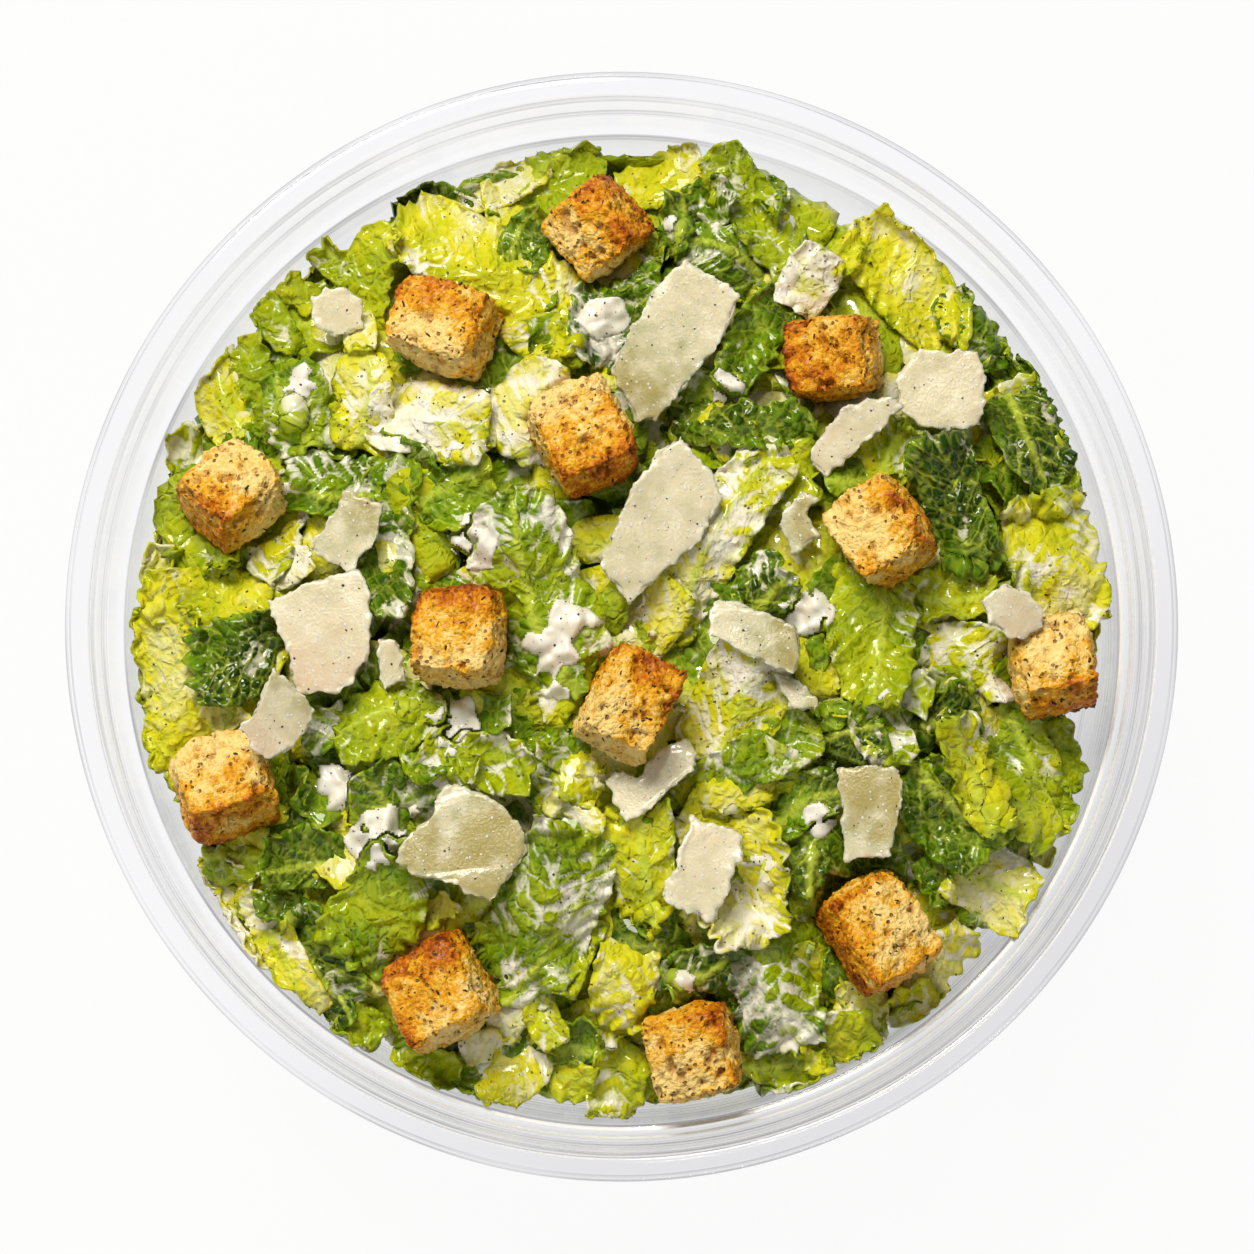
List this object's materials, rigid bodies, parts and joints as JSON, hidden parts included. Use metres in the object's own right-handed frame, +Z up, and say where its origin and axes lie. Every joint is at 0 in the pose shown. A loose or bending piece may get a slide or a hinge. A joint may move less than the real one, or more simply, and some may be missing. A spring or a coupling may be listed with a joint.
{
  "type": "caesar salad in a clear takeaway bowl",
  "caption": "Open clear plastic bowl heaped with torn romaine, toasted bread croutons, shaved parmesan and creamy dressing.",
  "frame": {"origin": "middle of the bowl's flat base, on the surface that it stands on", "axes": "+Z up through the middle of the bowl; +Y is the side of the salad shown at the top when it is seen from above, +X is to the right"},
  "size_m": [0.185, 0.185, 0.0721],
  "materials": {
    "pet": "clear, glossy",
    "romaine": "crinkled leaf, wet with dressing",
    "toast": "toasted crumb, rough",
    "parmesan": "hard cheese, satin"
  },
  "bodies": {
    "root": {"bowl": "pet", "salad": "romaine", "crouton_01": "toast", "crouton_02": "toast", "crouton_03": "toast", "crouton_04": "toast", "crouton_05": "toast", "crouton_06": "toast", "crouton_07": "toast", "crouton_08": "toast", "crouton_09": "toast", "crouton_10": "toast", "crouton_11": "toast", "crouton_12": "toast", "crouton_13": "toast", "parmesan_01": "parmesan", "parmesan_02": "parmesan", "parmesan_03": "parmesan", "parmesan_04": "parmesan", "parmesan_05": "parmesan", "parmesan_06": "parmesan", "parmesan_07": "parmesan", "parmesan_08": "parmesan", "parmesan_09": "parmesan", "parmesan_10": "parmesan", "parmesan_11": "parmesan", "parmesan_12": "parmesan", "parmesan_13": "parmesan", "parmesan_14": "parmesan", "parmesan_15": "parmesan", "parmesan_16": "parmesan", "parmesan_17": "parmesan"}
  },
  "joints": []
}
